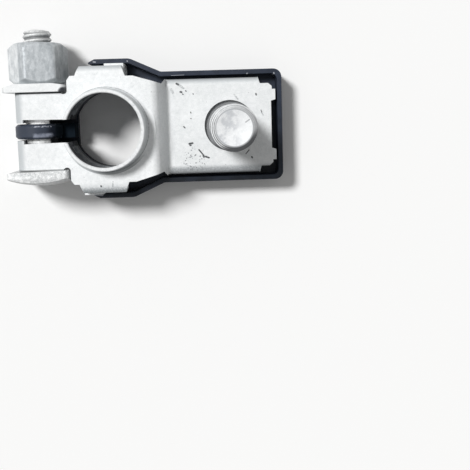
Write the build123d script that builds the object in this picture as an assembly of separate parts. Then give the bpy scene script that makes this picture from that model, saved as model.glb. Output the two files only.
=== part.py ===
from build123d import *
import os

# Battery terminal clamp with a cable stud, in millimetres.
# Origin: where the axis of the battery post meets the plane that the tray stands on.
# +Z is up the post, +X points at the cable stud, +Y points at the clamp nut.

# ---- Folded strip -------------------------------------------------------------------------
sheet = 0.9             # thickness of the plated strip
bend_inside = 0.6       # inside radius of every fold and joggle bend
clamp_top = 10.2        # top of the collar plate and the ears
stud_plate_top = 5.3    # top of the stud plate
fold_x = -16.8          # outer face of the fold that joins the two layers
strip_end_x = 31.93     # end of the upper layer
lower_end_x = 30.6      # end of the lower layer
joggle_x = 9.0          # where the upper layer starts to step down
joggle_run = 1.8        # length of the step along X
lower_inset = 0.3       # the lower layer's edge keeps this far inside the upper layer's flanges

# ---- Ears and slot ------------------------------------------------------------------------
ear_half_y = 7.25       # the two ears together span twice this
slot_half_bore = 2.0    # half the slot's width at the bore
slot_half_fold = 2.25   # half the slot's width beside the fold
web_slot_half = 1.62    # half the slot's width through the fold itself
relief_radius = 0.68    # round notch where an ear leaves the collar plate
relief_offset = 0.2     # the notch's middle is this far outside the ear

# ---- Collar plate -------------------------------------------------------------------------
plate_left_x = -6.95
flange_half_y = 11.85   # outer face of the collar plate's flanges
flange_drop = 2.6       # how far the flanges reach below the plate's top
corner_cut_x = 0.6      # bevel of the plate's left corners
corner_cut_y = 0.8
flange_start_x = -4.7
flange_end_x = 3.0
flange_slant = 0.75     # a flange's end is this much longer where it leaves the plate
flange_bend = 1.4       # outside radius of the flanges' bend
shoulder_half_y = 9.8   # the plate's width beside the flanges
corner_half_y = 10.05   # the plate's width at its left corners
shoulder_length = 1.4
neck_half_y = 8.3       # the plate's width where it steps down to the stud plate
neck_cut = 0.6          # slant of the notch between the neck and the stud plate's flanges
tab_half_y = 12.35      # outer face of the lower layer's two upturned tabs
tab_top = 7.3
tab_width = 3.6
tab_x = (1.4, -3.3)     # middle of the tab on the nut side and of the tab on the head side

# ---- Collars ------------------------------------------------------------------------------
rim_top = 14.4          # top of the upper collar
rim_land = 1.5          # the bore runs straight for this far below the rim
bore_rim_r = 6.72       # bore radius at the rim
bore_taper = 1 / 18     # growth of the bore's radius for each millimetre down
collar_wall = 0.7
collar_root = 0.9       # foot between the plates and the collars
foot_waist = 0.29       # the foot's two slopes meet at this share of it, near a quarter round
lower_collar_top = 8.6
rim_bevel = 0.15

# ---- Stud plate ---------------------------------------------------------------------------
stud_x = 23.03
stud_plate_half_y = 9.2
stud_flange_start_x = 10.8
stud_flange_end_x = 28.6
stud_flange_bottom = 1.5
step_half_y = 7.95      # width of the end beyond the flanges
step_slant = 0.4
end_corner_x = 1.35     # bevel of the end's corners
end_shelf_x = 0.65      # each corner is stepped back from the end by this much
end_shelf_y = 0.55      # and the step is this wide
tab_end_half_y = 6.8    # the end's corners start here
recess_half_y = 4.8     # half the width of the shallow recess in the end
recess_depth = 0.85
recess_slant = 0.25
stud_hole_r = 4.9

# ---- Cable stud ---------------------------------------------------------------------------
stud_r = 4.0            # M8
stud_top = 24.1
stud_tip_r = 3.3
stud_tip_height = 0.7
stud_dish = 0.35        # depth of the hollow in the stud's end
stud_dish_r = 3.0       # radius of that hollow's edge
stud_head_x = 12.0
stud_head_round = 1.0
seat_clearance = 0.05   # play above and below the stud's head

# ---- Clamp bolt, washer and nut -----------------------------------------------------------
bolt_x = -12.95
bolt_r = 2.9            # M6
bolt_end_r = 2.65       # the thread runs out smaller beyond the nut
bolt_end_length = 2.7
bolt_tip_y = 19.1
bolt_tip_r = 2.3
bolt_tip_length = 0.75
bolt_dome = 0.4
head_side = 11.2
head_edge = 1.3         # thickness of the head at its four corners
head_crown = 1.75       # rise of the crowned face above the corners
head_round = 0.5
washer_side = 11.2
washer_thick = 1.55
washer_hole_r = 3.2
washer_round = 0.6
washer_slope_x = 2.2    # the outer face falls away over this width at both sides
washer_slope_y = 0.3
nut_flats = 10.0
nut_height = 7.6
nut_face_inset = 0.1    # the turned end face is this much inside the flats
nut_corner_slope = 0.6  # rise of the turned corners for each millimetre out
nut_lead = 0.5          # countersink of the nut's bore
nut_lean = 15.0         # the nut's upper flat leans this many degrees towards the stud
nut_clearance = 0.05

# ---- Tray ---------------------------------------------------------------------------------
tray_floor = 1.2
tray_wall = 0.9
tray_top = 5.0
tray_end_x = 33.24
tray_half_y = 10.72     # outside, beside the stud plate
wing_half_y = 13.4      # outside, beside the collar plate
wing_start_x = -3.8
wing_slant_x = 1.2      # each wing starts with a slant, this long
wing_slant_y = 0.6      # and this deep
wing_end_x = 4.1
wing_foot_x = 10.0      # where the slanted wall meets the straight one
tray_corner = 1.6
wing_round = 2.5        # outside radius where a wing ends
foot_round = 1.2        # outside radius of the hollow at a wing's foot
tray_floor_x = -6.3     # the floor's edge under the collar plate
tray_floor_half_y = 9.0
tray_lip = 0.2          # bevel of the wall's upper edges
post_hole_r = 7.45
post_flat_x = -6.8      # the tongue's end makes a flat in the post hole
tongue_half_y = 1.4
tongue_base_half_y = 5.8
tongue_x = -15.6
tongue_top = 5.0
eyelet_x = -13.45       # the eyelet is thicker beyond the bolt than behind it
eyelet_r = 4.35
eyelet_hole_r = 3.1
eyelet_bevel = 0.45

# ---- Worked out from the above ------------------------------------------------------------
lower_bottom = tray_floor
bolt_z = (lower_bottom + clamp_top) / 2
bend_middle = bend_inside + sheet / 2
lower_half_y = corner_half_y - lower_inset
lower_stud_half_y = stud_plate_half_y - sheet - lower_inset
washer_y = ear_half_y + washer_thick
reach = 60.0            # longer than the part, for cutting tools
same_spot = 0.01        # a corner of an outline is found to within this


def bore_radius(z):
    """Radius of the post bore at height z: a straight land at the rim, then the taper."""
    return bore_rim_r + max(0, rim_top - rim_land - z) * bore_taper


def mirrored(points):
    """Close a half outline, given on the +Y side, over the X axis."""
    return Polyline(*points, *[(x, -y) for x, y in reversed(points)], close=True)


def plan(points, bottom, top):
    """Prism of a symmetric plan outline between two heights."""
    return Pos(0, 0, bottom) * extrude(make_face(mirrored(points)), top - bottom)


def strip_side(points):
    """The strip seen from the side, as wide as the cutting tools."""
    path = FilletPolyline(*points, radius=bend_middle)
    side = Plane.XZ * trace(path, line_width=sheet)
    return extrude(side, reach / 2, both=True)


def edge_fold(half_y, bend, level, tip, start_x, end_x, up=False):
    """A flange: quarter-round bend from a plate's edge, then a straight leg to height tip."""
    way = 1 if up else -1
    centre = (half_y - bend, level + way * bend)
    arc = CenterArc(centre, bend - sheet / 2, 0, -way * 90)
    leg = Line((half_y - sheet / 2, centre[1]), (half_y - sheet / 2, tip))
    side = Plane.YZ * trace([arc, leg], line_width=sheet)
    return Pos(start_x, 0, 0) * extrude(side, end_x - start_x)


def both_sides(shape):
    return shape + mirror(shape, Plane.XZ)


def collar(plate_bottom, top):
    """A collar drawn up from a plate, bored to the post's taper."""
    root = plate_bottom + collar_root + sheet
    plate_top = plate_bottom + sheet
    outer_r = bore_radius(top) + collar_wall
    root_r = outer_r + collar_root
    flare_r = bore_radius(root) + collar_root + sheet
    edge_r = max(flare_r, root_r) + sheet / 2
    land_z = rim_top - rim_land
    bore = [(flare_r, plate_bottom), (bore_radius(root), root)]
    if top > land_z:
        bore.append((bore_rim_r, land_z))
    rim = [
        (bore_radius(top), top - rim_bevel), (bore_radius(top) + rim_bevel, top),
        (outer_r - rim_bevel, top), (outer_r, top - rim_bevel)]
    waist = collar_root * foot_waist
    foot = [
        (outer_r, plate_top + collar_root), (outer_r + waist, plate_top + waist),
        (root_r, plate_top), (edge_r, plate_top), (edge_r, plate_bottom)]
    profile = make_face(Polyline(*bore, *rim, *foot, close=True))
    return revolve(Plane.XZ * profile, Axis.Z), edge_r


def slot():
    """Cut through the ears, the fold and the collars."""
    inner_x = fold_x + sheet + bend_inside
    wide = make_face(mirrored([(inner_x, slot_half_fold), (0, slot_half_bore)]))
    narrow = Pos(inner_x - reach / 4, 0) * Rectangle(reach / 2, 2 * web_slot_half)
    return extrude(wide + narrow, reach)


def upper_outline():
    """Half the upper layer's plan, from the fold to the end beyond the stud."""
    ears = [(fold_x - sheet, ear_half_y), (plate_left_x, ear_half_y)]
    corner = [
        (plate_left_x, corner_half_y - corner_cut_y), (plate_left_x + corner_cut_x, corner_half_y),
        (flange_start_x - flange_slant, corner_half_y)]
    flange = [(flange_start_x, flange_half_y), (flange_end_x, flange_half_y)]
    shoulder_x = flange_end_x + flange_slant
    neck = [
        (shoulder_x, shoulder_half_y), (shoulder_x + shoulder_length, shoulder_half_y),
        (stud_flange_start_x - neck_cut, neck_half_y)]
    stud_side = [
        (stud_flange_start_x, stud_plate_half_y), (stud_flange_end_x, stud_plate_half_y),
        (stud_flange_end_x + step_slant, step_half_y)]
    shelf_x = strip_end_x - end_shelf_x
    end = [
        (strip_end_x - end_corner_x, step_half_y), (shelf_x, tab_end_half_y + end_shelf_y),
        (shelf_x, tab_end_half_y), (strip_end_x, tab_end_half_y),
        (strip_end_x, recess_half_y), (strip_end_x - recess_depth, recess_half_y - recess_slant)]
    return ears + corner + flange + neck + stud_side + end


def lower_outline():
    """Half the lower layer's plan; it stays inside the upper layer's flanges."""
    ears = [(fold_x - sheet, ear_half_y), (plate_left_x, ear_half_y)]
    plate = [
        (plate_left_x, lower_half_y - corner_cut_y), (plate_left_x + corner_cut_x, lower_half_y),
        (flange_end_x, lower_half_y), (stud_flange_start_x - neck_cut, neck_half_y - lower_inset)]
    stud_side = [
        (stud_flange_start_x, lower_stud_half_y), (lower_end_x - end_corner_x, lower_stud_half_y),
        (lower_end_x, lower_stud_half_y - end_corner_x)]
    return ears + plate + stud_side


def clamp_body():
    """One strip folded in half: upper layer, fold and lower layer, with flanges, tabs and both collars."""
    upper_z = clamp_top - sheet / 2
    lower_z = lower_bottom + sheet / 2
    stud_z = stud_plate_top - sheet / 2
    fold_middle_x = fold_x + sheet / 2
    upper = strip_side([
        (fold_middle_x, bolt_z), (fold_middle_x, upper_z), (joggle_x, upper_z),
        (joggle_x + joggle_run, stud_z), (strip_end_x, stud_z)])
    lower = strip_side([(fold_middle_x, bolt_z), (fold_middle_x, lower_z), (lower_end_x, lower_z)])

    # The plates stop where the bends of their flanges begin.
    clamp_side_x = joggle_x + joggle_run
    flange_strips = Pos(clamp_side_x - reach / 2, 0, 0) * Box(reach, 2 * (flange_half_y - flange_bend), reach)
    stud_strips = Pos(clamp_side_x + reach / 2, 0, 0) * Box(reach, 2 * (stud_plate_half_y - flange_bend), reach)
    beyond_flange = Pos(stud_flange_end_x + reach / 2, 0, 0) * Box(reach, reach, reach)
    outline = plan(upper_outline(), 0, reach)
    upper = upper & outline & (flange_strips + stud_strips + beyond_flange)
    clamp_flange = edge_fold(flange_half_y, flange_bend, clamp_top, clamp_top - flange_drop,
                             flange_start_x - flange_slant, flange_end_x + flange_slant)
    stud_flange = edge_fold(stud_plate_half_y, flange_bend, stud_plate_top, stud_flange_bottom,
                            stud_flange_start_x, stud_flange_end_x)
    upper = upper + (both_sides(clamp_flange + stud_flange) & outline)

    lower = lower & plan(lower_outline(), 0, bolt_z + 1)
    for side, x in zip((1, -1), tab_x):
        tab = edge_fold(tab_half_y, flange_bend, lower_bottom, tab_top, x - tab_width / 2, x + tab_width / 2, up=True)
        root_half = tab_half_y - flange_bend
        root = Pos(x, root_half / 2, lower_z) * Box(tab_width, root_half, sheet)
        tab = tab + root
        lower = lower + (tab if side > 0 else mirror(tab, Plane.XZ))

    body = upper + lower
    for plate_bottom, top in ((clamp_top - sheet, rim_top), (lower_bottom, lower_collar_top)):
        ring, edge_r = collar(plate_bottom, top)
        body = body - Pos(0, 0, plate_bottom + sheet / 2) * Cylinder(edge_r, 2 * sheet) + ring
    notch = Pos(plate_left_x - relief_radius, ear_half_y + relief_offset) * Circle(relief_radius)
    body = body - both_sides(extrude(notch, reach)) - slot()
    stud_hole = Pos(stud_x, 0, stud_plate_top) * Cylinder(stud_hole_r, 3 * sheet)
    return body - stud_hole


def square_prism(side, thick, rounding):
    """A square plate standing across the bolt, its inner face in the XZ plane."""
    square = fillet(Rectangle(side, side).vertices(), rounding)
    return extrude(Plane.XZ * square, -thick)


def dome_radius(edge_r, rise):
    """Radius of the sphere whose cap has this edge radius and rise."""
    return (edge_r ** 2 + rise ** 2) / (2 * rise)


def clamp_bolt():
    """Bolt along +Y with a square head whose outer face is crowned."""
    end_y = bolt_tip_y - bolt_end_length
    shoulder_y = bolt_tip_y - bolt_tip_length
    dome_y = bolt_tip_y - bolt_dome
    side = make_face([
        Polyline(
            (0, bolt_tip_y), (0, -ear_half_y), (bolt_r, -ear_half_y), (bolt_r, end_y),
            (bolt_end_r, end_y), (bolt_end_r, shoulder_y), (bolt_tip_r, dome_y)),
        RadiusArc((bolt_tip_r, dome_y), (0, bolt_tip_y), -dome_radius(bolt_tip_r, bolt_dome))])
    shank = revolve(side, Axis.Y)
    corner_r = head_side / 2 ** 0.5
    corner_y = -ear_half_y - head_edge
    top_y = corner_y - head_crown
    head = Pos(0, -ear_half_y, 0) * square_prism(head_side, -(head_edge + head_crown), head_round)
    crown = revolve(make_face([
        Polyline((0, top_y), (0, -ear_half_y), (corner_r, -ear_half_y), (corner_r, corner_y)),
        RadiusArc((corner_r, corner_y), (0, top_y), dome_radius(corner_r, head_crown))]), Axis.Y)
    return Pos(bolt_x, 0, bolt_z) * (shank + (head & crown))


def square_washer():
    """Square washer whose outer face falls away a little towards both sides."""
    half = washer_side / 2
    flat = half - washer_slope_x
    inner_y = ear_half_y
    edge_y = washer_y - washer_slope_y
    side = make_face(Polyline(
        (-half, inner_y), (half, inner_y), (half, edge_y), (flat, washer_y),
        (-flat, washer_y), (-half, edge_y), close=True))
    plate = Pos(0, inner_y, 0) * square_prism(washer_side, washer_thick, washer_round)
    plate = plate & extrude(side, half, both=True)
    hole = extrude(Plane.XZ * Circle(washer_hole_r), -reach)
    return Pos(bolt_x, 0, bolt_z) * (plate - hole)


def clamp_nut():
    """Tall hexagon nut, its corners turned off to a cone at both ends."""
    hexagon = RegularPolygon(nut_flats / 2, 6, major_radius=False)
    corner_r = nut_flats / 3 ** 0.5
    face_r = nut_flats / 2 - nut_face_inset
    slope = (corner_r - face_r) * nut_corner_slope
    turned = revolve(Plane.XZ * make_face(Polyline(
        (0, 0), (face_r, 0), (corner_r, slope), (corner_r, nut_height - slope),
        (face_r, nut_height), (0, nut_height), close=True)), Axis.Z)
    bore_r = bolt_r + nut_clearance
    lead = Cone(bore_r + nut_lead, bore_r, nut_lead, align=(Align.CENTER, Align.CENTER, Align.MIN))
    far_lead = Pos(0, 0, nut_height) * mirror(lead, Plane.XY)
    nut = (extrude(hexagon, nut_height) & turned) - Cylinder(bore_r, reach) - lead - far_lead
    place = Pos(bolt_x, washer_y, bolt_z) * Rot(0, nut_lean, 0) * Rot(-90, 0, 0)
    return place * nut


def cable_stud():
    """Stud with a flat rectangular head that the two layers of the strip hold."""
    head_bottom = lower_bottom + sheet + seat_clearance
    head_height = stud_plate_top - sheet - seat_clearance - head_bottom
    head_y = 2 * (stud_plate_half_y - flange_bend)
    head = Pos(0, 0, head_bottom + head_height / 2) * Box(stud_head_x, head_y, head_height)
    head = fillet(head.edges().filter_by(Axis.Z), stud_head_round)
    side = make_face([
        Polyline((0, stud_top - stud_dish), (0, head_bottom), (stud_r, head_bottom),
                 (stud_r, stud_top - stud_tip_height), (stud_tip_r, stud_top), (stud_dish_r, stud_top)),
        RadiusArc((stud_dish_r, stud_top), (0, stud_top - stud_dish), dome_radius(stud_dish_r, stud_dish))])
    shank = revolve(Plane.XZ * side, Axis.Z)
    return Pos(stud_x, 0, 0) * (head + shank)


def wall_line(inset, start):
    """Plan outline of the tray's wall, from one wing round the end to the other wing."""
    corners = [
        (wing_end_x - inset / 4, wing_half_y - inset), (wing_foot_x - inset / 4, tray_half_y - inset),
        (tray_end_x - inset, tray_half_y - inset)]
    rounding = (wing_round - inset / 2, foot_round + inset / 2, tray_corner - inset / 2)
    line = make_face(mirrored(start + corners))
    for (x, y), radius in zip(corners, rounding):
        spots = [v for v in line.vertices() if abs(v.X - x) < same_spot and abs(abs(v.Y) - y) < same_spot]
        line = fillet(spots, radius)
    return line


def block(start_x, end_x, half_y, top):
    """Block on the ground, symmetric about the XZ plane."""
    return Pos((start_x + end_x) / 2, 0, top / 2) * Box(end_x - start_x, 2 * half_y, top)


def insulating_tray():
    """Floor, surrounding wall and the tongue that fills the slot and ends in an eyelet round the bolt."""
    outside = wall_line(0, [
        (wing_start_x, wing_half_y - wing_slant_y), (wing_start_x + wing_slant_x, wing_half_y)])
    inside = wall_line(tray_wall, [(wing_start_x - tray_wall, wing_half_y - tray_wall)])
    floor = extrude(outside, tray_floor) + block(tray_floor_x, wing_start_x, tray_floor_half_y, tray_floor)
    ring = outside - inside
    lip_z = tray_top - tray_lip
    wall = extrude(ring, lip_z) + Pos(0, 0, lip_z) * extrude(ring, tray_lip, taper=45)
    base = block(tongue_x, tray_floor_x, tongue_base_half_y, tray_floor)
    tongue = block(tongue_x, post_flat_x, tongue_half_y, tongue_top)
    eyelet = Rot(90, 0, 0) * Cylinder(eyelet_r, 2 * tongue_half_y)
    eyelet = Pos(eyelet_x, 0, bolt_z) * chamfer(eyelet.edges().filter_by(GeomType.CIRCLE), eyelet_bevel)
    hole = Pos(bolt_x, 0, bolt_z) * Rot(90, 0, 0) * Cylinder(eyelet_hole_r, reach)
    post_hole = Cylinder(post_hole_r, reach) & block(post_flat_x, reach, reach, reach)
    return floor + wall + base - post_hole + tongue + eyelet - hole


if __name__ == "__main__":
    os.makedirs("parts", exist_ok=True)
    nodes = {
        "clamp_body": clamp_body,
        "insulating_tray": insulating_tray,
        "clamp_bolt": clamp_bolt,
        "square_washer": square_washer,
        "clamp_nut": clamp_nut,
        "cable_stud": cable_stud,
    }
    for name, build in nodes.items():
        export_step(build(), f"parts/{name}.step")
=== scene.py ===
import math

import bmesh
import bpy
from mathutils import Matrix, Vector


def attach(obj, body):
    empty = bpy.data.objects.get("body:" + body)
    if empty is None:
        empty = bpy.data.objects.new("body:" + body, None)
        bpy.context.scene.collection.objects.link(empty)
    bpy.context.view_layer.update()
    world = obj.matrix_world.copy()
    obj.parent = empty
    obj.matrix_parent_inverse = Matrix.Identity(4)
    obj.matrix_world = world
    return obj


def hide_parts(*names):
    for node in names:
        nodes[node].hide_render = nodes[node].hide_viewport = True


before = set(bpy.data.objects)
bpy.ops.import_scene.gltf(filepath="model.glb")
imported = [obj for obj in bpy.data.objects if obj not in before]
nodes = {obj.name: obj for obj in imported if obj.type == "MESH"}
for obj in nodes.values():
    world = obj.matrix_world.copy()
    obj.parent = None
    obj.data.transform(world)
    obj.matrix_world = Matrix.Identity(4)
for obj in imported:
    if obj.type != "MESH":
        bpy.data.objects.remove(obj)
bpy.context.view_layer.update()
MM = 0.001

# ---- Camera ---------------------------------------------------------------------------------
# Nearly straight down. The optical axis meets the picture above and left of its middle, and the
# part lies further up and left.
IMAGE_SIZE = 470
FOCAL_PX = 642.7
PRINCIPAL_PX = (219.9, 169.9)              # where the optical axis meets the picture
CAMERA_MM = (18.05, 2.82, 129.64)
CAMERA_TURNS = (0.0905, 0.0251, 0.0295)    # about X, Y and Z, in radians
SENSOR_MM = 36.0
CLIP_M = (0.005, 5.0)


def make_camera():
    data = bpy.data.cameras.new("camera")
    data.sensor_width = SENSOR_MM
    data.lens = FOCAL_PX / IMAGE_SIZE * data.sensor_width
    data.shift_x = 0.5 - PRINCIPAL_PX[0] / IMAGE_SIZE
    data.shift_y = PRINCIPAL_PX[1] / IMAGE_SIZE - 0.5
    data.clip_start, data.clip_end = CLIP_M
    camera = bpy.data.objects.new("camera", data)
    a, b, c = CAMERA_TURNS
    turn = Matrix.Rotation(a, 4, "X") @ Matrix.Rotation(b, 4, "Y") @ Matrix.Rotation(c, 4, "Z")
    camera.matrix_world = Matrix.Translation(Vector(CAMERA_MM) * MM) @ turn.transposed()
    bpy.context.scene.collection.objects.link(camera)
    bpy.context.scene.camera = camera


make_camera()
bpy.context.scene.view_settings.view_transform = "Standard"

# ---- Light ----------------------------------------------------------------------------------
# Shadows are longest on the floor round the object, shorter on the floor seen through the bore and
# shortest on the object, so each has a lamp of its own.
SUN_ANGLE = math.radians(14)
OBJECT_SUN = 2.62
OBJECT_SHADOW = (0.42, -0.37)          # how far a shadow falls along X and Y for each unit of height
BORE_SUN = 2.75
BORE_SHADOW = (0.56, -0.41)
FLOOR_SUN = 3.05
FLOOR_SHADOW = (0.72, -0.58)
SKY_STRENGTH = 0.275
BACKDROP = (0.95, 0.95, 0.945, 1)


def seen(tree):
    """1 for rays from the camera, straight or by way of a mirror or clear material, 0 for the rest."""
    path = tree.nodes.new("ShaderNodeLightPath")
    total = path.outputs["Is Camera Ray"]
    for kind in ("Is Glossy Ray", "Is Transmission Ray"):
        node = tree.nodes.new("ShaderNodeMath")
        node.operation = "MAXIMUM"
        tree.links.new(total, node.inputs[0])
        tree.links.new(path.outputs[kind], node.inputs[1])
        total = node.outputs[0]
    return total


def make_sun(name, strength, shadow):
    """A lamp that lights only the objects of its own collection, which it returns."""
    sun = bpy.data.lights.new(name, "SUN")
    sun.energy = strength
    sun.angle = SUN_ANGLE
    lamp = bpy.data.objects.new(name, sun)
    lamp.rotation_mode = "QUATERNION"
    lamp.rotation_quaternion = Vector((*shadow, -1.0)).to_track_quat("-Z", "Y")
    bpy.context.scene.collection.objects.link(lamp)
    lit = bpy.data.collections.new("lit by " + name)
    lamp.light_linking.receiver_collection = lit
    return lit


def make_world():
    world = bpy.data.worlds.new("studio")
    world.use_nodes = True
    tree = world.node_tree
    background = tree.nodes["Background"]
    background.inputs["Color"].default_value = BACKDROP
    strength = tree.nodes.new("ShaderNodeMath")
    strength.operation = "MULTIPLY_ADD"
    tree.links.new(seen(tree), strength.inputs[0])
    strength.inputs[1].default_value = 1.0 - SKY_STRENGTH
    strength.inputs[2].default_value = SKY_STRENGTH
    tree.links.new(strength.outputs[0], background.inputs["Strength"])
    bpy.context.scene.world = world


lit_object = make_sun("key", OBJECT_SUN, OBJECT_SHADOW)
lit_spot = make_sun("bore_key", BORE_SUN, BORE_SHADOW)
lit_floor = make_sun("floor_key", FLOOR_SUN, FLOOR_SHADOW)
floor_shades = bpy.data.collections.new("shades the floor")
bpy.data.objects["floor_key"].light_linking.blocker_collection = floor_shades
make_world()


# ---- Sizes ----------------------------------------------------------------------------------
# Places and sizes of the solids, in millimetres.
RIM_TOP = 14.4
BORE_TAPER = 1 / 18            # growth of the bore's radius for each millimetre down
BORE_TAPER_TOP = 12.9          # the bore runs straight above this height
STUD_X = 23.03
STUD_R = 4.0
STUD_HEAD_TOP = 4.36           # just above the stud's flat head
STUD_TOP = 24.1
STUD_TIP_R = 3.3
STUD_TIP_HEIGHT = 0.7
STUD_DISH_R = 3.0
STUD_DISH = 0.35
BOLT_X = -12.95
BOLT_Z = 5.7
BOLT_R = 2.9
BOLT_END_R = 2.65
BOLT_END_Y = 16.4              # the bolt is smaller beyond the nut's outer face
BOLT_TIP_Y = 19.1
BOLT_TIP_R = 2.3
BOLT_DOME = 0.4
HEAD_FACE_Y = -7.25            # the bolt head's inner face
HEAD_END_Y = -7.24             # just past it
WASHER_FACE_Y = 8.8
NUT_HEIGHT = 7.6
NUT_Y = 8.8
NUT_CLEARANCE = 0.05
NUT_LEAD = 0.5                 # countersink of the nut's bore
NUT_LEAN = 15.0                # the nut's upper flat leans this many degrees towards the stud

# Sizes that only the visible meshes have, in millimetres.
STUD_ROOT_R = 3.42
STUD_PITCH = 1.25
STUD_FOOT = 4.0                # the threaded shank starts inside the stud's head
BOLT_ROOT_R = 2.45
BOLT_PITCH = 1.0
BOLT_THREAD_Y = 7.6            # the shank is plain up to here, inside the washer
BOLT_START = 0.15              # the bolt's thread is shifted this far along it
BOLT_FADE = 1.0                # the thread shrinks to its smaller end over this length
HEAD_TAPER = 0.7               # how far the head's inner face would slant by TAPER_END_X
WASHER_TAPER = 0.8             # the same for the washer's outer face
TAPER_X = -16.2                # both faces slant from here to the left
TAPER_END_X = -20.1            # past the left end of both
TAPER_POWER = 1.4
TAPER_REACH = 0.6              # a point this near a face belongs to it
NUT_FLATS = 9.65               # the solid's flats are 10 mm apart
NUT_CORNER_R = 5.47            # the corners are worn round
NUT_FACE_R = 4.4               # radius of the turned end face
NUT_CONE = 1.15                # growth of the turned corner's radius for each millimetre along
THREAD_VALLEY = 0.12           # share of half a pitch that is flat at the thread's root
THREAD_FLANK = 0.72            # share of half a pitch that a flank takes

# How finely the visible meshes are cut.
TURN_STEPS = 12                # sections in each turn of a thread
STUD_COLUMNS = 80
BOLT_COLUMNS = 72
DISH_RINGS = 8
DISH_SPAN = 7.2                # rings from the dish's edge to its middle
CAP_RINGS = 7
CAP_ANGLE = 1.5                # radians from the cap's edge to its last ring
PAST_END = 0.01                # a rounded end's rings are numbered from this far past it
NUT_FACE_COLUMNS = 22          # divisions of each flat
NUT_END_STEP = 0.13            # spacing of the nut's sections along its turned corners
NUT_END_STEPS = 10
WELD = 0.0005                  # corners this near each other are one
FLAT_ANGLE = math.radians(0.4)
SHARP_ANGLE = math.radians(28)
BEVEL_SEGMENTS = 2

# Values that only the paint uses.
SCRATCH_CORE = 0.7             # a scratch is at full strength within this share of its half width
SCRATCH_REACH = 1.5            # and gone beyond this share


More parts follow.
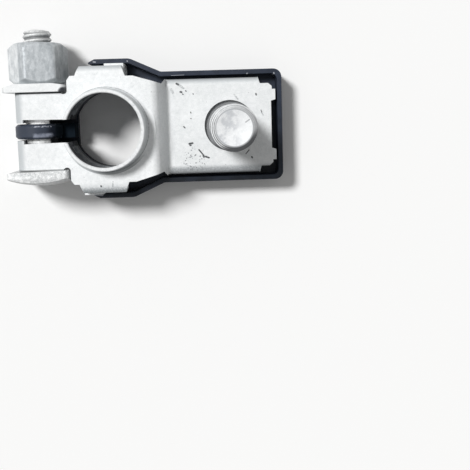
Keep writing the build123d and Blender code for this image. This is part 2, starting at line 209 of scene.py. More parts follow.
# ---- Node helpers ---------------------------------------------------------------------------
class Paint:
    """Builds one procedural material. Coordinates are the row frame's, in millimetres."""

    def __init__(self, name, metallic, roughness, specular=0.3):
        self.material = bpy.data.materials.new(name)
        self.material.use_nodes = True
        self.tree = self.material.node_tree
        self.shader = self.tree.nodes["Principled BSDF"]
        self.shader.inputs["Metallic"].default_value = metallic
        self.shader.inputs["Roughness"].default_value = roughness
        self.shader.inputs["Specular IOR Level"].default_value = specular
        where = self.tree.nodes.new("ShaderNodeTexCoord")
        scale = self.tree.nodes.new("ShaderNodeMapping")
        scale.inputs["Scale"].default_value = (1 / MM, 1 / MM, 1 / MM)
        self.tree.links.new(where.outputs["Object"], scale.inputs["Vector"])
        self.where = scale.outputs["Vector"]
        split = self.tree.nodes.new("ShaderNodeSeparateXYZ")
        self.tree.links.new(self.where, split.inputs[0])
        self.x, self.y, self.z = split.outputs

    def put(self, socket, value):
        """Links a socket to another, or gives it a plain value."""
        if isinstance(value, bpy.types.NodeSocket):
            self.tree.links.new(value, socket)
        else:
            socket.default_value = value

    def math(self, operation, *values, clamp=False):
        node = self.tree.nodes.new("ShaderNodeMath")
        node.operation = operation
        node.use_clamp = clamp
        for socket, value in zip(node.inputs, values):
            self.put(socket, value)
        return node.outputs[0]

    def stretched(self, scale):
        node = self.tree.nodes.new("ShaderNodeMapping")
        node.inputs["Scale"].default_value = scale
        self.tree.links.new(self.where, node.inputs["Vector"])
        return node.outputs["Vector"]

    def noise(self, scale, detail=3.0, rough=0.5, where=None, warp=0.0):
        node = self.tree.nodes.new("ShaderNodeTexNoise")
        self.put(node.inputs["Vector"], where or self.where)
        node.inputs["Scale"].default_value = scale
        node.inputs["Detail"].default_value = detail
        node.inputs["Roughness"].default_value = rough
        node.inputs["Distortion"].default_value = warp
        return node.outputs[0]

    def cells(self, scale):
        """Distance to the nearest of many scattered points."""
        node = self.tree.nodes.new("ShaderNodeTexVoronoi")
        self.put(node.inputs["Vector"], self.where)
        node.inputs["Scale"].default_value = scale
        return node.outputs[0]

    def band(self, value, low, high):
        """0 below low, 1 above high, smooth between."""
        node = self.tree.nodes.new("ShaderNodeMapRange")
        node.interpolation_type = "SMOOTHSTEP"
        self.put(node.inputs["Value"], value)
        node.inputs["From Min"].default_value = low
        node.inputs["From Max"].default_value = high
        return node.outputs[0]

    def below(self, value, low, high):
        """1 below low, 0 above high, smooth between."""
        return self.math("SUBTRACT", 1.0, self.band(value, low, high))

    def within(self, value, low, high, soft):
        """1 between low and high, 0 outside, with soft edges of that width."""
        return self.math("MULTIPLY", self.band(value, low - soft, low), self.below(value, high, high + soft))

    def negative(self, value):
        return self.math("MULTIPLY", value, -1.0)

    def product(self, *values):
        total = values[0]
        for value in values[1:]:
            total = self.math("MULTIPLY", total, value)
        return total

    def length(self, x, y):
        squares = self.math("ADD", self.math("MULTIPLY", x, x), self.math("MULTIPLY", y, y))
        return self.math("SQRT", squares)

    def blend(self, factor, a, b):
        node = self.tree.nodes.new("ShaderNodeMix")
        node.data_type = "RGBA"
        self.put(node.inputs["Factor"], factor)
        for socket, value in ((node.inputs[6], a), (node.inputs[7], b)):
            self.put(socket, (*value, 1) if isinstance(value, tuple) else value)
        return node.outputs[2]

    def tint(self, factor, colour, by):
        """The colour, multiplied by another where factor is 1."""
        node = self.tree.nodes.new("ShaderNodeMix")
        node.data_type = "RGBA"
        node.blend_type = "MULTIPLY"
        self.put(node.inputs["Factor"], factor)
        self.put(node.inputs[6], colour)
        self.put(node.inputs[7], (*by, 1))
        return node.outputs[2]

    def spread(self, value, low, high):
        """value, from 0 to 1, spread from low to high."""
        return self.math("MULTIPLY_ADD", value, high - low, low)

    def bump(self, height, distance):
        node = self.tree.nodes.new("ShaderNodeBump")
        node.inputs["Strength"].default_value = 1.0
        node.inputs["Distance"].default_value = distance * MM
        self.tree.links.new(height, node.inputs["Height"])
        self.tree.links.new(node.outputs[0], self.shader.inputs["Normal"])

    def finish(self, colour, roughness=None):
        self.tree.links.new(colour, self.shader.inputs["Base Color"])
        if roughness is not None:
            self.tree.links.new(roughness, self.shader.inputs["Roughness"])
        return self.material

    def scratch(self, start, end, width):
        """1 on the line between two points of the plan, 0 off it, ragged at its edge."""
        ax, ay = start
        bx, by = end
        length = math.hypot(bx - ax, by - ay)
        ux, uy = (bx - ax) / length, (by - ay) / length
        px = self.math("SUBTRACT", self.x, ax)
        py = self.math("SUBTRACT", self.y, ay)
        along = self.math("ADD", self.math("MULTIPLY", px, ux), self.math("MULTIPLY", py, uy))
        across = self.math("SUBTRACT", self.math("MULTIPLY", px, uy), self.math("MULTIPLY", py, ux))
        held = self.math("MINIMUM", self.math("MAXIMUM", along, 0.0), length)
        past = self.math("SUBTRACT", along, held)
        return self.below(self.length(past, across), width * SCRATCH_CORE, width * SCRATCH_REACH)

    def strongest(self, values):
        total = values[0]
        for value in values[1:]:
            total = self.math("MAXIMUM", total, value)
        return total


# ---- Materials ------------------------------------------------------------------------------
def plated(name, light, dark, fleck, metallic, roughness=0.5, bump=0.012, streak=None):
    """Matt plating: cloudy, finely mottled, with small flecks. Returns paint, colour and roughness."""
    p = Paint(name, metallic, roughness)
    cloud = p.band(p.noise(0.22, 4, 0.6, warp=0.4), 0.35, 0.7)
    mottle = p.band(p.noise(1.6, 5, 0.62), 0.38, 0.66)
    grain = p.noise(5.5, 3, 0.6)
    fine = p.band(grain, 0.36, 0.64)
    mix = p.math("ADD", p.math("MULTIPLY", cloud, 0.3), p.math("MULTIPLY", mottle, 0.4))
    mix = p.math("ADD", mix, p.math("MULTIPLY", fine, 0.3), clamp=True)
    if streak:
        lines = p.band(p.noise(1.0, 3, 0.55, where=p.stretched(streak)), 0.36, 0.68)
        mix = p.math("MULTIPLY_ADD", lines, 0.5, p.math("MULTIPLY", mix, 0.5))
    colour = p.blend(mix, dark, light)
    small = p.below(p.cells(1.15), 0.04, 0.13)
    chosen = p.band(p.noise(0.8, 2, 0.5), 0.56, 0.6)
    flecks = p.product(small, chosen, 0.75)
    colour = p.blend(flecks, colour, fleck)
    height = p.math("ADD", p.math("MULTIPLY", mottle, 0.6), p.math("MULTIPLY", grain, 0.5))
    p.bump(height, bump)
    return p, colour, p.spread(grain, roughness - 0.08, roughness + 0.1)


# Scratches and spots seen in plan on the clamp body: start, end, half width.
DARK_MARKS = (
    ((13.0, 8.3), (13.3, 8.1), 0.16), ((13.7, 6.7), (13.9, 6.65), 0.17),
    ((14.7, 6.9), (14.8, 6.8), 0.1), ((14.1, 6.3), (14.2, 6.2), 0.1),
    ((16.1, 6.3), (16.15, 6.2), 0.09), ((28.2, 5.95), (28.25, 5.75), 0.14),
    ((27.1, -6.2), (27.2, -6.35), 0.14), ((14.1, 0.05), (14.35, -0.2), 0.1),
    ((15.5, 2.8), (15.6, 2.6), 0.08), ((15.5, 1.6), (15.6, 1.5), 0.07),
    ((15.1, -3.3), (15.7, -3.2), 0.17), ((15.2, -3.6), (15.4, -3.6), 0.12),
    ((16.9, -4.5), (17.75, -5.6), 0.12), ((17.8, -5.6), (17.75, -5.95), 0.1),
    ((17.9, -5.8), (18.8, -6.1), 0.14), ((26.0, -5.55), (26.6, -4.85), 0.09),
    ((29.1, 2.8), (29.25, 2.4), 0.08), ((-1.5, -10.4), (-1.45, -10.5), 0.13),
)
SMEARS = (
    ((13.3, 8.2), (14.3, 7.4), 0.2), ((13.9, -7.1), (15.5, -7.8), 0.12),
    ((14.6, -8.0), (15.6, -8.4), 0.12), ((29.2, 2.4), (29.5, 1.8), 0.12),
    ((0.75, -9.7), (0.7, -10.6), 0.12), ((24.0, 5.9), (24.7, 5.0), 0.14),
    ((11.9, 7.3), (12.3, 6.5), 0.2),
)
# Painted highlights on the tray's upper edges.
TRAY_HIGHLIGHTS = (
    ((5.3, -11.6), (8.3, -10.2), 0.12), ((-6.0, -12.75), (-2.1, -12.85), 0.1),
    ((31.8, 9.9), (31.82, 9.7), 0.1), ((-2.75, 12.9), (-2.4, 12.85), 0.12),
    ((3.7, 12.9), (3.75, 12.85), 0.1), ((26.6, 9.9), (26.65, 9.9), 0.1),
    ((12.0, 9.9), (14.5, 9.95), 0.03),
)
SCUFF_MIDDLE = (16.0, -6.3)
SCUFF_HALF = (3.1, 3.0)

# Where the clamp body's paint changes, in millimetres. A fade is a pair: its start and its end.
# A zone is a pair too: the paint lies between the two, with soft edges outside them.
STUD_PLATE_X = (10.9, 11.4)    # fades
STUD_BEND_Y = (7.7, 9.0)
STUD_BEND_TOP = (5.4, 5.6)
LOW_EDGE_Y = (7.3, 8.3)
COLLAR_BEND_Y = (10.6, 11.7)
LOW_BEND_Y = (9.6, 11.6)
BEND_Z = (7.5, 7.9)
FOLD_X = (-15.9, -14.9)
FOLD_Z = (8.5, 9.0)
WALL_Z = (10.25, 10.5)
UNDER_Y = (4.0, 7.0)
STEP_X = (9.5, 10.9)
EARS_TOP = (9.2, 9.4)
WASHER_SIDE_Y = (6.9, 7.0)
HEAD_SIDE_Y = (7.0, 7.1)
SLOT_TOP = (9.6, 9.9)
WALL_R = (7.4, 8.3)            # zones
STEP_Z = (5.5, 9.9)
FOOT_R = (7.8, 7.88)
FOOT_Z = (10.1, 11.2)
UNDER_R = (7.6, 8.3)
UNDER_Z = (10.1, 11.4)
BELT_Z = (6.0, 8.5)
EARS_X = (-18.4, -7.6)
SLOT_X = (-11.2, -6.5)
SLOT_HALF_Y = 3.0              # the slot's painted shade keeps within this of the middle
BORE_SKIN_R = 7.05             # at the rim, between the bore and the collar's outer wall


def collar_paint(p, colour, radius, ragged):
    """The rim is worn; a painted shade line darkens the collar's foot, and painted shade darkens its lower
    side.
    """
    worn = p.band(p.noise(1.3, 4, 0.65), 0.5, 0.66)
    worn = p.product(p.band(p.z, RIM_TOP - 0.25, RIM_TOP - 0.1), worn, 0.3)
    colour = p.blend(worn, colour, (0.45, 0.47, 0.48))
    foot_shade_line = p.product(p.within(radius, *FOOT_R, 0.08), p.within(p.z, *FOOT_Z, 0.1))
    foot_shade_line = p.product(foot_shade_line, p.spread(ragged, 0.2, 0.8))
    colour = p.blend(foot_shade_line, colour, (0.3, 0.31, 0.32))
    lower_side_shade = p.product(p.within(radius, *UNDER_R, 0.12), p.within(p.z, *UNDER_Z, 0.1))
    lower_side_shade = p.product(lower_side_shade, p.band(p.negative(p.y), *UNDER_Y))
    return p.tint(lower_side_shade, colour, (0.5, 0.51, 0.52))


def bore_paint(p, colour, radius):
    """The bore is painted dark as shade, with a paler, less shaded belt half way down."""
    depth = p.math("MAXIMUM", p.math("SUBTRACT", BORE_TAPER_TOP, p.z), 0.0)
    inside = p.math("LESS_THAN", radius, p.math("MULTIPLY_ADD", depth, BORE_TAPER, BORE_SKIN_R))
    deep = p.below(p.z, RIM_TOP - 0.5, RIM_TOP - 0.2)
    patchy = p.spread(p.band(p.noise(0.9, 4, 0.6), 0.4, 0.7), 0.3, 1.0)
    belt = p.product(p.within(p.z, *BELT_Z, 1.0), patchy)
    # Painted shade: dark in the bore, paler in the belt.
    dark = p.blend(belt, (0.07, 0.075, 0.085), (0.34, 0.36, 0.38))
    return p.blend(p.math("MULTIPLY", inside, deep), colour, dark)


def ear_shade(p, colour, side):
    """Painted shade where the washer and the bolt's head meet the ears, and in the slot's inner end."""
    ears = p.product(p.within(p.x, *EARS_X, 0.1), p.band(p.z, *EARS_TOP))
    colour = p.blend(p.product(ears, p.band(p.y, *WASHER_SIDE_Y)), colour, (0.03, 0.032, 0.035))
    head_side_shade = p.band(p.negative(p.y), *HEAD_SIDE_Y)
    colour = p.blend(p.product(ears, head_side_shade, 0.8), colour, (0.2, 0.21, 0.21))
    slot_shade = p.product(p.math("LESS_THAN", side, SLOT_HALF_Y), p.within(p.x, *SLOT_X, 0.2))
    slot_shade = p.product(slot_shade, p.below(p.z, *SLOT_TOP))
    return p.blend(slot_shade, colour, (0.012, 0.014, 0.018))


def plate_marks(p, colour, ragged):
    """Scratches, spots and smears, and a scuffed corner of specks."""
    marks = p.strongest([p.scratch(*mark) for mark in DARK_MARKS])
    smears = p.strongest([p.scratch(*mark) for mark in SMEARS])
    off_x = p.math("DIVIDE", p.math("SUBTRACT", p.x, SCUFF_MIDDLE[0]), SCUFF_HALF[0])
    off_y = p.math("DIVIDE", p.math("SUBTRACT", p.y, SCUFF_MIDDLE[1]), SCUFF_HALF[1])
    near = p.below(p.length(off_x, off_y), 0.5, 1.0)
    specks = p.below(p.cells(2.4), 0.18, 0.42)
    specks = p.product(specks, near, p.band(p.noise(1.3, 2, 0.5), 0.4, 0.5), 0.9)
    colour = p.blend(p.product(smears, ragged, 0.8), colour, (0.38, 0.4, 0.41))
    colour = p.blend(specks, colour, (0.14, 0.15, 0.16))
    return p.blend(p.math("MULTIPLY", marks, p.spread(ragged, 0.8, 1.0)), colour, (0.035, 0.038, 0.042))


def plate_paint():
    p, colour, rough = plated(
        "plate_paint", (0.95, 0.96, 0.965), (0.76, 0.78, 0.785), (0.3, 0.31, 0.32), 0.05, 0.6)
    radius = p.length(p.x, p.y)
    side = p.math("ABSOLUTE", p.y)
    ragged = p.band(p.noise(3.2, 4, 0.6), 0.36, 0.56)

    # Painted shade: the flanges' bends, the fold and the collar's outer wall are painted greyer.
    stud_bend_shade = p.product(p.band(side, *STUD_BEND_Y), p.band(p.x, *STUD_PLATE_X))
    stud_bend_shade = p.product(stud_bend_shade, p.below(p.z, *STUD_BEND_TOP))
    low_edge_shade = p.product(p.band(p.negative(p.y), *LOW_EDGE_Y), p.band(p.x, *STUD_PLATE_X))
    low_edge_shade = p.product(low_edge_shade, p.spread(ragged, 0.6, 1.0))
    collar_bend_shade = p.product(p.band(side, *COLLAR_BEND_Y), p.band(p.z, *BEND_Z))
    fold_shade = p.product(p.below(p.x, *FOLD_X), p.band(p.z, *FOLD_Z))
    collar_wall_shade = p.product(p.within(radius, *WALL_R, 0.15), p.band(p.z, *WALL_Z))
    painted_shade = p.strongest([stud_bend_shade, low_edge_shade, collar_bend_shade, fold_shade, p.math("MULTIPLY", collar_wall_shade, 0.6)])
    colour = p.blend(p.math("MULTIPLY", painted_shade, 0.85), colour, (0.5, 0.53, 0.545))
    # More painted shade along the stud plate's lower edge.
    colour = p.blend(p.math("MULTIPLY", low_edge_shade, 0.6), colour, (0.25, 0.265, 0.275))
    colour = collar_paint(p, colour, radius, ragged)

    # Painted shade on the step down to the stud plate, darker towards its foot.
    step_shade = p.product(p.band(p.x, *STEP_X), p.within(p.z, *STEP_Z, 0.3))
    colour = p.blend(p.math("MULTIPLY", step_shade, 0.45), colour, (0.45, 0.47, 0.475))
    colour = bore_paint(p, colour, radius)
    colour = ear_shade(p, colour, side)

    # The collar plate's lower bend gets mottled painted shade, and faint tarnish lies all over.
    low_bend_shade = p.product(p.band(p.negative(p.y), *LOW_BEND_Y), p.band(p.z, *BEND_Z))
    low_bend_shade = p.product(low_bend_shade, p.spread(ragged, 0.4, 1.0))
    colour = p.tint(low_bend_shade, colour, (0.5, 0.52, 0.53))
    tarnish = p.math("MULTIPLY", p.band(p.noise(1.1, 5, 0.68, warp=0.6), 0.55, 0.72), 0.35)
    colour = p.tint(tarnish, colour, (0.72, 0.74, 0.75))
    return p.finish(plate_marks(p, colour, ragged), rough)


# Where the tray's paint changes: fades, then zones.
DUST_Y = (-9.0, 10.0)
EYELET_X = (-11.6, -10.4)
EYELET_Z = (6.0, 7.0)
CREST_Z = (8.0, 8.3)
TONGUE_X = (-10.2, -9.6)
TONGUE_Z = (1.5, 2.0)
TONGUE_END_R = 9.9             # the tongue's paint keeps within this of the bore's axis
RUB_Z = (1.3, 1.6)
CREST_X = (-13.2, -10.7)
STRIP_Y = (-0.9, -0.6)
CREST_EDGE_Y = (0.85, 1.0)


def plastic_paint():
    p = Paint("plastic_paint", 0.0, 0.4, specular=0.15)
    cloud = p.noise(0.5, 4, 0.6)
    grain = p.noise(9.0, 2, 0.5)
    colour = p.blend(p.band(cloud, 0.35, 0.7), (0.004, 0.006, 0.01), (0.01, 0.014, 0.023))
    # Dust, with painted light on the side towards the nut, lies towards the nut's side and on the eyelet.
    dust_and_light = p.product(p.band(p.y, *DUST_Y), p.spread(cloud, 0.3, 1.0), 0.75)
    colour = p.blend(dust_and_light, colour, (0.047, 0.059, 0.089))
    eyelet = p.product(p.below(p.x, *EYELET_X), p.band(p.z, *EYELET_Z))
    colour = p.blend(p.math("MULTIPLY", eyelet, 0.6), colour, (0.068, 0.08, 0.108))
    # The eyelet's crest has a painted highlight in a ragged strip and along one edge.
    wander = p.math("MULTIPLY_ADD", p.noise(0.9, 3, 0.6), 0.9, -0.45)
    crest = p.product(p.within(p.math("ADD", p.x, wander), *CREST_X, 0.7), p.band(p.z, *CREST_Z))
    highlight_strip = p.within(p.math("ADD", p.y, p.math("MULTIPLY", wander, 0.5)), *STRIP_Y, 0.4)
    highlight_patch = p.spread(p.band(p.noise(1.1, 3, 0.6), 0.35, 0.65), 0.35, 0.9)
    colour = p.blend(p.product(crest, highlight_strip, highlight_patch), colour, (0.36, 0.39, 0.48))
    broken = p.band(p.noise(2.4, 3, 0.6), 0.42, 0.56)
    edge = p.product(crest, p.within(p.y, *CREST_EDGE_Y, 0.12), broken)
    colour = p.blend(edge, colour, (0.42, 0.44, 0.5))
    # The tongue between the eyelet and the bore is matt and painted dark as shade.
    near_bore = p.math("LESS_THAN", p.length(p.x, p.y), TONGUE_END_R)
    tongue_matt_and_shade = p.product(p.band(p.x, *TONGUE_X), near_bore, p.band(p.z, *TONGUE_Z))
    colour = p.blend(tongue_matt_and_shade, colour, (0.006, 0.011, 0.017))
    # The walls' upper edges have painted highlights.
    edge_highlights = p.strongest([p.scratch(*mark) for mark in TRAY_HIGHLIGHTS])
    edge_highlights = p.math("MULTIPLY", edge_highlights, p.band(p.z, *RUB_Z))
    colour = p.blend(p.math("MULTIPLY", edge_highlights, 0.7), colour, (0.5, 0.52, 0.56))
    p.bump(grain, 0.012)
    return p.finish(colour, p.math("MAXIMUM", p.spread(cloud, 0.34, 0.52), tongue_matt_and_shade))


# The washer's corner of painted shade: its middle in plan, and fades.
WASHER_SHADE = (-7.4, 7.1)
WASHER_SHADE_R = (0.75, 1.15)
WASHER_SHADE_Z = (8.0, 9.0)


def washer_paint():
    p, colour, rough = plated("washer_paint", (0.84, 0.85, 0.85), (0.68, 0.695, 0.7), (0.4, 0.41, 0.42), 0.1)
    corner = p.length(p.math("SUBTRACT", p.x, WASHER_SHADE[0]), p.math("SUBTRACT", p.y, WASHER_SHADE[1]))
    nook_shade = p.product(p.below(corner, *WASHER_SHADE_R), p.band(p.z, *WASHER_SHADE_Z))
    colour = p.blend(nook_shade, colour, (0.04, 0.043, 0.05))
    return p.finish(colour, rough)


# Where the bolt's paint changes.
BOLT_VALLEY_R = (2.42, 2.55)
BOLT_VALLEY_Y = (15.5, 18.3)
BOLT_GAP = (1.2, 2.6)          # the shank shows this far from the middle, beside the eyelet
BOLT_HEAD_OUT = (8.4, 9.0)
SLOT_END_X = (-11.1, -10.8)


def bolt_paint():
    p, colour, rough = plated(
        "bolt_paint", (0.97, 0.975, 0.97), (0.42, 0.435, 0.44), (0.25, 0.26, 0.26), 0.3, 0.45, 0.03)
    radius = p.length(p.math("SUBTRACT", p.x, BOLT_X), p.math("SUBTRACT", p.z, BOLT_Z))
    # Painted shade in the thread's valleys towards the tip.
    valley_shade = p.product(p.below(radius, *BOLT_VALLEY_R), p.within(p.y, *BOLT_VALLEY_Y, 0.1), 0.8)
    colour = p.blend(valley_shade, colour, (0.16, 0.165, 0.17))
    # The shank is painted bright as a highlight on the nut's side of the eyelet.
    shank_gap_and_highlight = p.within(p.y, *BOLT_GAP, 0.1)
    p.put(p.shader.inputs["Metallic"], p.spread(shank_gap_and_highlight, 0.25, 0.95))
    colour = p.blend(shank_gap_and_highlight, colour, (0.97, 0.97, 0.97))
    # The head is darker towards its outer side, and painted shade darkens the shank at the slot's inner end.
    head_outer_dark = p.band(p.negative(p.y), *BOLT_HEAD_OUT)
    colour = p.tint(head_outer_dark, colour, (0.78, 0.78, 0.78))
    nook_shade = p.product(p.within(p.math("ABSOLUTE", p.y), *BOLT_GAP, 0.1), p.band(p.x, *SLOT_END_X))
    colour = p.blend(nook_shade, colour, (0.01, 0.011, 0.014))
    return p.finish(colour, p.math("ADD", rough, p.math("MULTIPLY", shank_gap_and_highlight, 0.3)))


# Where the tone of the nut's flats changes.
UPPER_FLAT_X = (-15.6, -9.1)
INNER_FLAT_X = (-9.1, -8.95)
INNER_EDGE_X = (-8.7, -8.2)


def nut_paint():
    p, colour, rough = plated(
        "nut_paint", (0.93, 0.95, 0.96), (0.5, 0.53, 0.545), (0.97, 0.97, 0.97), 0.25, 0.45, 0.04,
        streak=(1.1, 0.5, 1.1))
    # Painted shade darkens the upper flat and the one towards the bore; the latter is darkest at its far
    # edge.
    colour = p.tint(p.within(p.x, *UPPER_FLAT_X, 0.1), colour, (0.69, 0.705, 0.72))
    colour = p.tint(p.band(p.x, *INNER_FLAT_X), colour, (0.74, 0.75, 0.755))
    colour = p.tint(p.band(p.x, *INNER_EDGE_X), colour, (0.8, 0.81, 0.815))
    return p.finish(colour, rough)


# Where the stud's paint changes: fades in height, then in radius.
STUD_FOOT_Z = (5.2, 6.6)
CHAMFER_Z = (22.9, 23.1)
END_Z = (23.5, 23.7)
STUD_VALLEY_R = (3.5, 3.75)
CHAMFER_R = (3.2, 3.3)
END_R = (3.1, 3.2)
END_RIM_R = (3.05, 3.2)        # a zone
RING_SPACING = 0.3             # of the fine rings on the chamfer


def stud_paint():
    p, colour, rough = plated(
        "stud_paint", (0.95, 0.96, 0.965), (0.62, 0.64, 0.65), (0.4, 0.41, 0.42), 0.1, 0.6, 0.01)
    off = p.math("SUBTRACT", p.x, STUD_X)
    down = p.negative(p.y)
    radius = p.length(off, p.y)
    # Painted shade darkens the recess round the stud's foot and the thread's valleys.
    low = p.below(p.z, *STUD_FOOT_Z)
    colour = p.blend(p.math("MULTIPLY", low, 0.9), colour, (0.2, 0.207, 0.215))
    valley_shade = p.product(p.below(radius, *STUD_VALLEY_R), p.below(p.z, *CHAMFER_Z), 0.8)
    colour = p.blend(valley_shade, colour, (0.2, 0.205, 0.21))
    # Fine rings of painted shade run round the chamfer, strongest on the lower left; painted shade turns one
    # side grey and the side away from the light black.
    chamfer = p.product(p.band(p.z, *CHAMFER_Z), p.band(radius, *CHAMFER_R))
    wave = p.math("SINE", p.math("MULTIPLY", radius, 2 * math.pi / RING_SPACING))
    lower_left = p.spread(p.band(p.math("SUBTRACT", down, off), 0.0, 2.5), 0.4, 1.0)
    rings = p.product(p.band(wave, 0.0, 0.8), chamfer, lower_left)
    colour = p.blend(rings, colour, (0.13, 0.135, 0.14))
    painted_shade = p.product(p.band(off, -1.0, 2.0), chamfer, 0.6)
    colour = p.blend(painted_shade, colour, (0.42, 0.43, 0.44))
    away_side_shade = p.band(p.math("ADD", p.math("MULTIPLY", off, 0.4), p.math("MULTIPLY", down, 0.9)), 1.2, 2.9)
    colour = p.blend(p.product(away_side_shade, p.band(radius, *END_R), 0.95), colour, (0.07, 0.073, 0.078))
    # The end face is paler, with a grey rim, cloudy marks that add painted shade on its left side, and one
    # scratch.
    end = p.product(p.band(p.z, *END_Z), p.below(radius, *END_R))
    colour = p.blend(p.math("MULTIPLY", end, 0.5), colour, (0.86, 0.87, 0.88))
    rim = p.product(p.within(radius, *END_RIM_R, 0.1), p.band(p.z, *END_Z), 0.7)
    colour = p.blend(rim, colour, (0.25, 0.26, 0.27))
    left = p.below(off, -0.5, 1.8)
    cloud = p.product(end, p.band(p.noise(0.55, 4, 0.65), 0.42, 0.62), left, 0.6)
    colour = p.blend(cloud, colour, (0.44, 0.46, 0.49))
    mark = p.product(p.scratch((24.9, 0.9), (25.5, 1.3), 0.1), end, 0.6)
    colour = p.blend(mark, colour, (0.2, 0.21, 0.22))
    return p.finish(colour, rough)


# ---- Pieces ---------------------------------------------------------------------------------
def add_piece(name, mesh, material, body, node):
    """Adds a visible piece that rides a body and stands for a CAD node."""
    mesh.materials.clear()
    mesh.materials.append(material)
    for face in mesh.polygons:
        face.use_smooth = True
    piece = bpy.data.objects.new(name, mesh)
    bpy.context.scene.collection.objects.link(piece)
    lit_object.objects.link(piece)
    # The photograph shows no shadow of the stud on the floor.
    if node != "cable_stud":
        floor_shades.objects.link(piece)
    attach(piece, body)
    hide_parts(node)
    return piece


def softened(node, width, keep=None):
    """A copy of a CAD node's mesh with its sharp edges rounded to that width in millimetres."""
    bm = bmesh.new()
    bm.from_mesh(nodes[node].data)
    bmesh.ops.remove_doubles(bm, verts=bm.verts, dist=WELD * MM)
    if keep:
        bmesh.ops.delete(bm, geom=[v for v in bm.verts if not keep(v.co / MM)], context="VERTS")
    bmesh.ops.dissolve_limit(bm, angle_limit=FLAT_ANGLE, verts=bm.verts, edges=bm.edges)
    sharp = [e for e in bm.edges if len(e.link_faces) == 2 and e.calc_face_angle(0) > SHARP_ANGLE]
    bmesh.ops.bevel(
        bm, geom=sharp, offset=width * MM, offset_type="OFFSET", segments=BEVEL_SEGMENTS,
        profile=0.5, affect="EDGES", clamp_overlap=True)
    mesh = bpy.data.meshes.new(node + "_soft")
    bm.to_mesh(mesh)
    bm.free()
    return mesh


def taper(mesh, face_y, depth):
    """Slants the face that lies at face_y towards lower Y, more and more from TAPER_X to the left."""
    for vertex in mesh.vertices:
        x, y, _ = vertex.co / MM
        past = max(0.0, (TAPER_X - x) / (TAPER_X - TAPER_END_X))
        if abs(y - face_y) < TAPER_REACH:
            vertex.co.y -= depth * past ** TAPER_POWER * MM
    return mesh


def weigh_normals(piece):
    """Shades large flat faces flat, so that only the rounded edges between them look round."""
    weighted = piece.modifiers.new("flat faces", "WEIGHTED_NORMAL")
    weighted.keep_sharp = False
    weighted.weight = 100


def thread_radius(turn, along, crest, root, pitch):
    """Radius of a right-hand thread at a turn (0 to 1) and a distance along its axis."""
    phase = (along / pitch - turn) % 1.0
    rise = abs(phase - 0.5) * 2
    return root + (crest - root) * min(max((rise - THREAD_VALLEY) / THREAD_FLANK, 0.0), 1.0)


def lathe_mesh(name, rows, columns, radius_at, place):
    """A closed body with a ring for each row: radius_at(turn, row) sizes it, place(x, y, row) puts it."""
    bm = bmesh.new()
    rings = []
    for along in rows:
        ring = []
        for i in range(columns):
            turn = i / columns
            angle = 2 * math.pi * turn
            r = radius_at(turn, along)
            ring.append(bm.verts.new(place(r * math.cos(angle), r * math.sin(angle), along)))
        rings.append(ring)
    for low, high in zip(rings, rings[1:]):
        for i in range(columns):
            j = (i + 1) % columns
            bm.faces.new((low[i], low[j], high[j], high[i]))
    bm.faces.new(list(reversed(rings[0])))
    bm.faces.new(rings[-1])
    mesh = bpy.data.meshes.new(name)
    bmesh.ops.recalc_face_normals(bm, faces=bm.faces)
    bm.to_mesh(mesh)
    bm.free()
    return mesh


def stud_mesh():
    steps = round((STUD_TOP - STUD_FOOT) / STUD_PITCH * TURN_STEPS)
    shank = [STUD_FOOT + (STUD_TOP - STUD_FOOT) * i / steps for i in range(steps + 1)]
    # Rows past the top stand for rings of the dish, numbered from its edge inwards.
    dish = [STUD_TOP + PAST_END + k for k in range(DISH_RINGS)]

    def radius(turn, row):
        if row > STUD_TOP:
            k = round(row - STUD_TOP - PAST_END)
            return STUD_DISH_R * (1 - k / DISH_SPAN)
        cone = STUD_TIP_R + (STUD_TOP - row) / STUD_TIP_HEIGHT * (STUD_R - STUD_TIP_R)
        return min(thread_radius(turn, row, STUD_R, STUD_ROOT_R, STUD_PITCH), cone)

    def place(x, y, row):
        z = row
        if row > STUD_TOP:
            r = math.hypot(x, y)
            z = STUD_TOP - STUD_DISH * (1 - (r / STUD_DISH_R) ** 2)
        return Vector((STUD_X + x, y, z)) * MM

    return lathe_mesh("stud_thread", shank + dish, STUD_COLUMNS, radius, place)


def bolt_mesh():
    length = BOLT_TIP_Y - BOLT_DOME - HEAD_FACE_Y
    steps = round(length / BOLT_PITCH * TURN_STEPS)
    rows = [HEAD_FACE_Y + length * i / steps for i in range(steps + 1)]
    # Rows past the tip stand for rings of the domed end.
    cap = [BOLT_TIP_Y + PAST_END + k for k in range(CAP_RINGS)]

    def radius(turn, row):
        if row > BOLT_TIP_Y:
            return BOLT_TIP_R * math.cos((row - BOLT_TIP_Y - PAST_END) / (CAP_RINGS - 1) * CAP_ANGLE)
        if row < BOLT_THREAD_Y:
            return BOLT_R
        fade = min(max((row - BOLT_END_Y + BOLT_FADE) / BOLT_FADE, 0.0), 1.0)
        crest = BOLT_R + (BOLT_END_R - BOLT_R) * fade
        root = BOLT_ROOT_R + (BOLT_TIP_R - BOLT_ROOT_R) * fade
        cone = BOLT_TIP_R + (BOLT_TIP_Y - BOLT_DOME - row)
        return min(thread_radius(turn, row - BOLT_START, crest, root, BOLT_PITCH), cone)

    def place(x, z, row):
        y = row
        if row > BOLT_TIP_Y:
            y = BOLT_TIP_Y - BOLT_DOME * (math.hypot(x, z) / BOLT_TIP_R) ** 2
        return Vector((BOLT_X + x, y, BOLT_Z - z)) * MM

    return lathe_mesh("bolt_thread", rows + cap, BOLT_COLUMNS, radius, place)


def nut_radius(turn):
    """Radius of the worn hexagon at a turn, its first flat facing turn 0."""
    angle = (turn * 6 + 0.5) % 1.0 - 0.5
    return min(NUT_FLATS / 2 / math.cos(angle * math.pi / 3), NUT_CORNER_R)


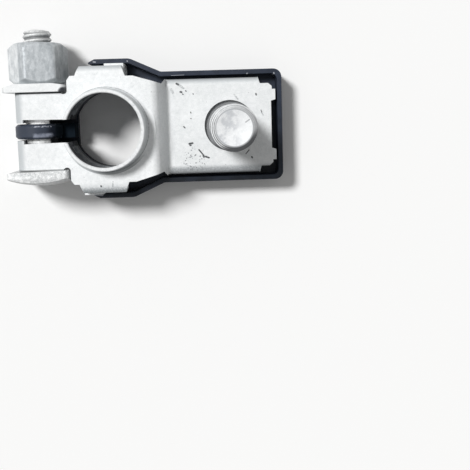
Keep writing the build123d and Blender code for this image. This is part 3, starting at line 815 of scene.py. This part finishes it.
def nut_mesh():
    """A tall nut whose corners are turned off at both ends, with a countersunk bore."""
    ends = [NUT_END_STEP * k for k in range(NUT_END_STEPS)]
    middle = [NUT_HEIGHT * k / 10 for k in range(2, 9)]
    lengths = ends + middle + [NUT_HEIGHT - e for e in reversed(ends)]
    bore = BOLT_R + NUT_CLEARANCE
    rings = [(bore, NUT_LEAD), (bore + NUT_LEAD, 0.0)]
    rings += [(None, along) for along in lengths]
    rings += [(bore + NUT_LEAD, NUT_HEIGHT), (bore, NUT_HEIGHT - NUT_LEAD)]
    columns = 6 * NUT_FACE_COLUMNS
    bm = bmesh.new()
    loops = []
    for fixed, along in rings:
        loop = []
        for i in range(columns):
            turn = i / columns
            from_end = min(along, NUT_HEIGHT - along)
            r = fixed or min(nut_radius(turn), NUT_FACE_R + from_end * NUT_CONE)
            angle = 2 * math.pi * turn + math.radians(90 - NUT_LEAN)
            spot = Vector((BOLT_X + r * math.cos(angle), NUT_Y + along, BOLT_Z + r * math.sin(angle)))
            loop.append(bm.verts.new(spot * MM))
        loops.append(loop)
    for low, high in zip(loops, loops[1:] + loops[:1]):
        for i in range(columns):
            j = (i + 1) % columns
            bm.faces.new((low[i], low[j], high[j], high[i]))
    bmesh.ops.recalc_face_normals(bm, faces=bm.faces)
    mesh = bpy.data.meshes.new("nut")
    bm.to_mesh(mesh)
    bm.free()
    return mesh


plate = add_piece(
    "folded_plate", softened("clamp_body", width=0.05), plate_paint(),
    "clamp", "clamp_body")
tray = add_piece(
    "tray_shell", softened("insulating_tray", width=0.08), plastic_paint(),
    "clamp", "insulating_tray")
washer_mesh = softened("square_washer", width=0.45)
washer = add_piece(
    "flat_washer", taper(washer_mesh, WASHER_FACE_Y, WASHER_TAPER), washer_paint(),
    "washer", "square_washer")
add_piece("hex_nut", nut_mesh(), nut_paint(), "nut", "clamp_nut")

bolt_finish = bolt_paint()
head_mesh = softened("clamp_bolt", width=0.22, keep=lambda co: co.y < HEAD_END_Y)
head = add_piece(
    "bolt_head", taper(head_mesh, HEAD_FACE_Y, HEAD_TAPER), bolt_finish,
    "clamp", "clamp_bolt")
add_piece("bolt_thread", bolt_mesh(), bolt_finish, "clamp", "clamp_bolt")

stud_finish = stud_paint()
stud_head_mesh = softened("cable_stud", width=0.1, keep=lambda co: co.z < STUD_HEAD_TOP)
stud_head = add_piece("stud_head", stud_head_mesh, stud_finish, "clamp", "cable_stud")
add_piece("stud_thread", stud_mesh(), stud_finish, "clamp", "cable_stud")
for piece in (plate, tray, washer, head, stud_head):
    weigh_normals(piece)


# ---- Floor ----------------------------------------------------------------------------------
FLOOR_R = 1200.0               # far beyond the picture
SPOT_R = 9.0                   # the floor seen through the bore; its edge lies under the tray
FLOOR_SIDES = 64


def floor_paint():
    p = Paint("floor_paint", 0.0, 0.9, specular=0.0)
    return p.finish(p.blend(seen(p.tree), (0.6, 0.6, 0.6), (0.975, 0.975, 0.97)))


def make_floor():
    """One flat floor in two pieces, a round spot under the bore and all the rest."""
    paint = floor_paint()
    turns = [2 * math.pi * i / FLOOR_SIDES for i in range(FLOOR_SIDES)]
    spot = [(SPOT_R * math.cos(t) * MM, SPOT_R * math.sin(t) * MM, 0) for t in turns]
    edge = [(FLOOR_R * math.cos(t) * MM, FLOOR_R * math.sin(t) * MM, 0) for t in turns]
    n = FLOOR_SIDES
    quads = [(i, n + i, n + (i + 1) % n, (i + 1) % n) for i in range(n)]
    for name, points, faces, lit in (
            ("floor_spot", spot, [tuple(range(n))], lit_spot), ("floor", spot + edge, quads, lit_floor)):
        mesh = bpy.data.meshes.new(name)
        mesh.from_pydata(points, [], faces)
        mesh.materials.append(paint)
        floor = bpy.data.objects.new(name, mesh)
        bpy.context.scene.collection.objects.link(floor)
        lit.objects.link(floor)


make_floor()
